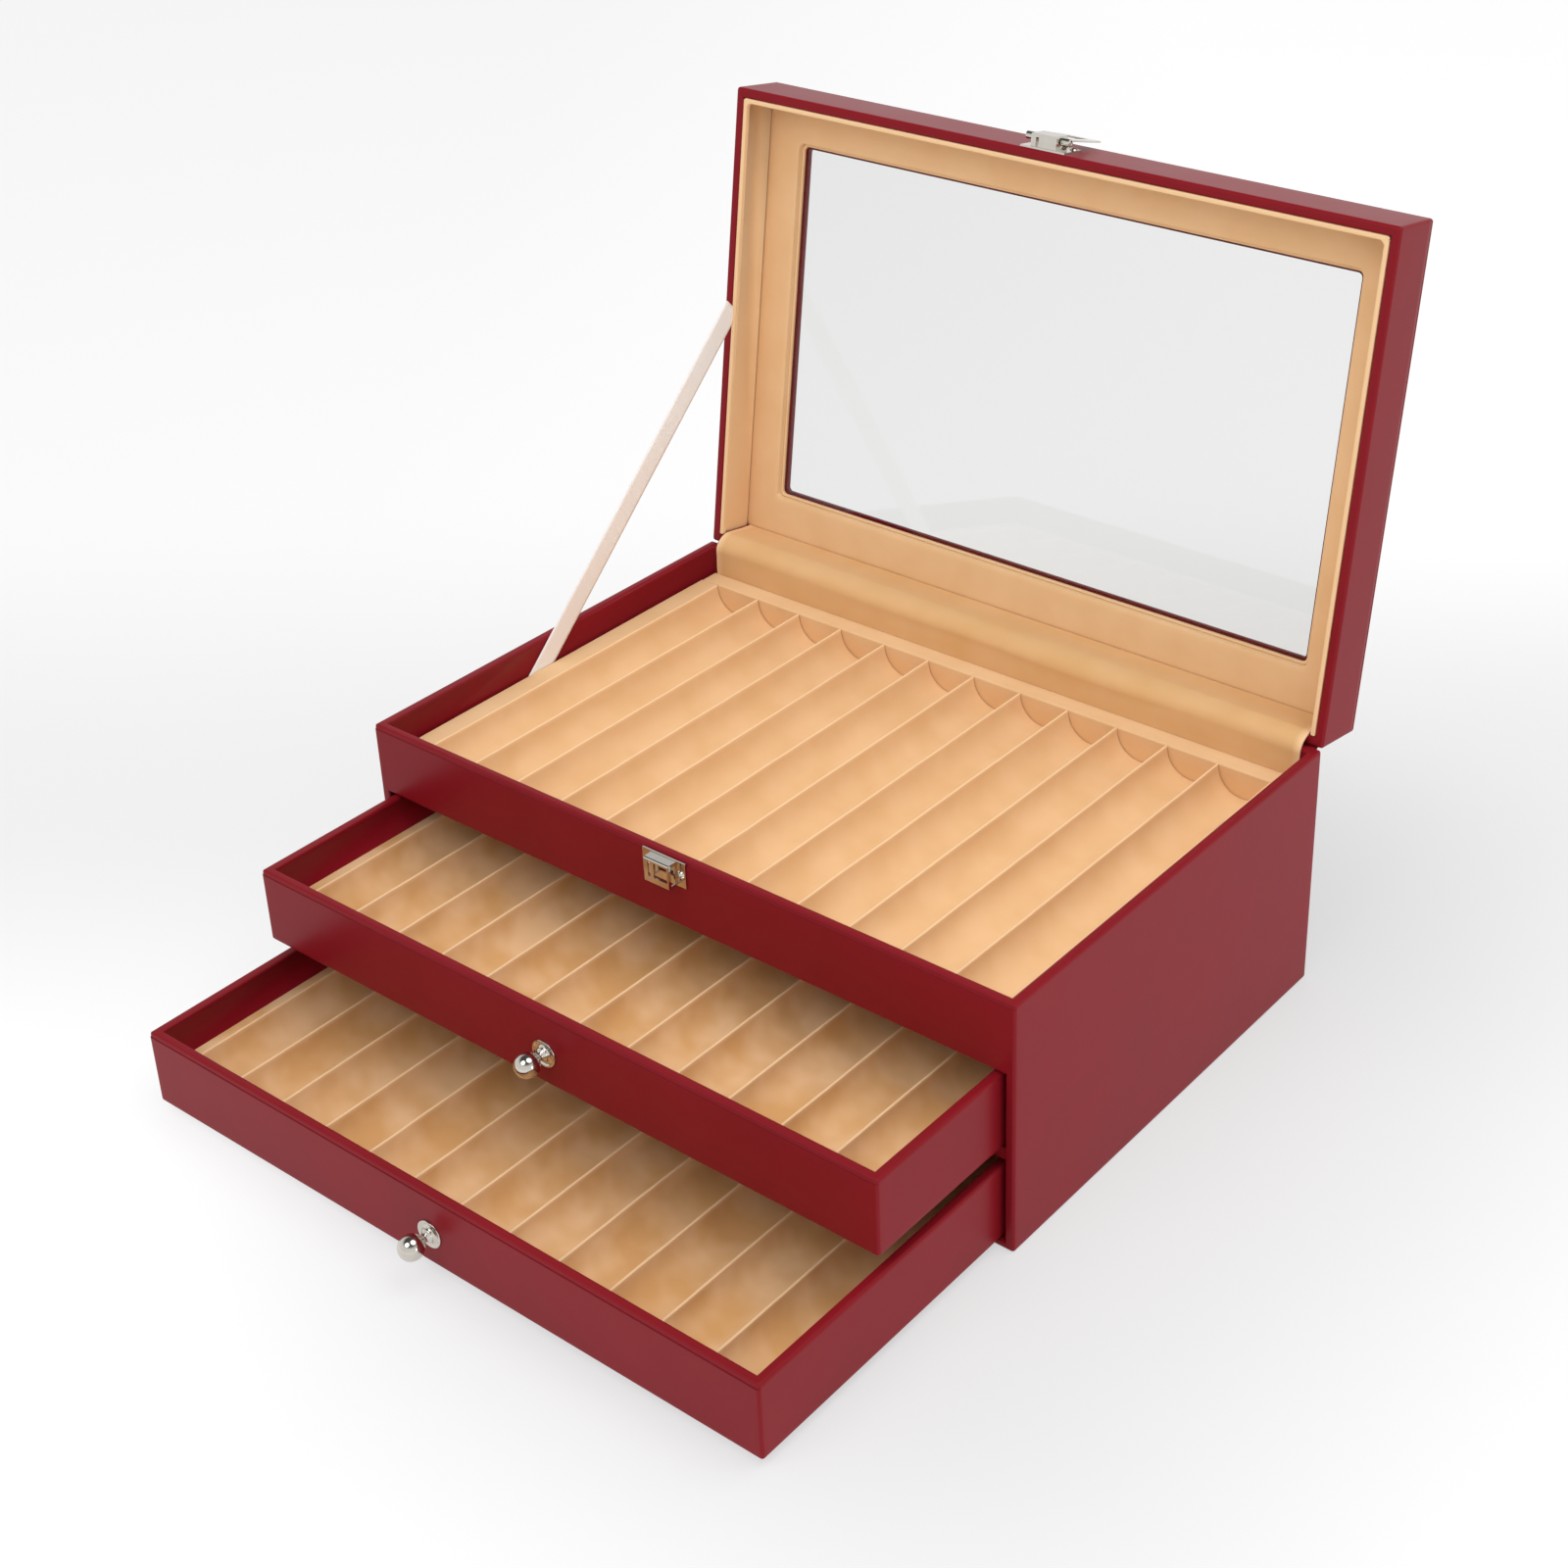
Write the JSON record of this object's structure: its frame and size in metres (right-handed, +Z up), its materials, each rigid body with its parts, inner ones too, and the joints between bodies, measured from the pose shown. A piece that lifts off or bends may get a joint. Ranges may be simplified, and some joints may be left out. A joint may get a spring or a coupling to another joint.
{
  "type": "pen collector chest",
  "caption": "Leather-wrapped pen chest with a hinged glazed lid, a slotted velvet top tray, two knobbed drawers with slotted trays and a swinging hasp",
  "frame": {"origin": "centre of the chest's underside, on the surface that it stands on", "axes": "+Z up, -Y out of the front that the drawers pull out of, +X to the right as seen from the front"},
  "size_m": [0.34, 0.4412, 0.3412],
  "materials": {
    "leather_wrap": "dark crimson smooth leather over board, low sheen",
    "velvet": "tan flocked velvet, matt",
    "ribbon": "cream satin ribbon",
    "window_glass": "clear polished sheet glass",
    "nickel": "polished nickel plating"
  },
  "bodies": {
    "chest": {"base_panel": "leather_wrap", "left_side_panel": "leather_wrap", "right_side_panel": "leather_wrap", "back_panel": "leather_wrap", "front_apron": "leather_wrap", "divider_shelf": "leather_wrap", "tray_shelf": "leather_wrap", "top_pen_tray": "velvet", "top_tray_front_strip": "velvet", "top_tray_rear_strip": "velvet", "catch_plate": "nickel", "catch_screws": "nickel", "hinge_lining": "velvet", "leather_hinge": "leather_wrap", "lid_ribbon": "ribbon"},
    "lid": {"lid_left_wall": "leather_wrap", "lid_right_wall": "leather_wrap", "lid_front_wall": "leather_wrap", "lid_back_wall": "leather_wrap", "lid_window_panel": "leather_wrap", "window_pane": "window_glass", "window_lining": "velvet", "lid_wall_lining": "velvet", "hasp_bracket": "nickel", "hasp_screws": "nickel", "hasp_pin": "nickel"},
    "hasp": {"hasp": "nickel"},
    "middle_drawer": {"middle_drawer_front": "leather_wrap", "middle_drawer_left_side": "leather_wrap", "middle_drawer_right_side": "leather_wrap", "middle_drawer_back": "leather_wrap", "middle_drawer_bottom": "leather_wrap", "middle_drawer_pen_tray": "velvet", "middle_drawer_tray_front_strip": "velvet", "middle_drawer_tray_rear_strip": "velvet", "middle_drawer_knob": "nickel", "middle_drawer_rosette": "nickel", "middle_drawer_knob_screw": "nickel"},
    "lower_drawer": {"lower_drawer_front": "leather_wrap", "lower_drawer_left_side": "leather_wrap", "lower_drawer_right_side": "leather_wrap", "lower_drawer_back": "leather_wrap", "lower_drawer_bottom": "leather_wrap", "lower_drawer_pen_tray": "velvet", "lower_drawer_tray_front_strip": "velvet", "lower_drawer_tray_rear_strip": "velvet", "lower_drawer_knob": "nickel", "lower_drawer_rosette": "nickel", "lower_drawer_knob_screw": "nickel"}
  },
  "joints": [
    {"name": "lid_hinge", "type": "hinge", "parent": "chest", "child": "lid", "pos_m": [0, 0.1107, 0.1162], "axis": [-1, 0, 0], "range_deg": [-98.9, 0], "deforming": ["hinge_lining", "leather_hinge", "lid_ribbon"]},
    {"name": "hasp_hinge", "type": "hinge", "parent": "lid", "child": "hasp", "pos_m": [0, 0.15158, 0.33845], "axis": [-1, 0, 0], "range_deg": [-187, 0]},
    {"name": "middle_drawer_slide", "type": "slide", "parent": "chest", "child": "middle_drawer", "axis": [0, -1, 0], "range_m": [-0.0735, 0.0965]},
    {"name": "lower_drawer_slide", "type": "slide", "parent": "chest", "child": "lower_drawer", "axis": [0, -1, 0], "range_m": [-0.1397, 0.0303]}
  ]
}
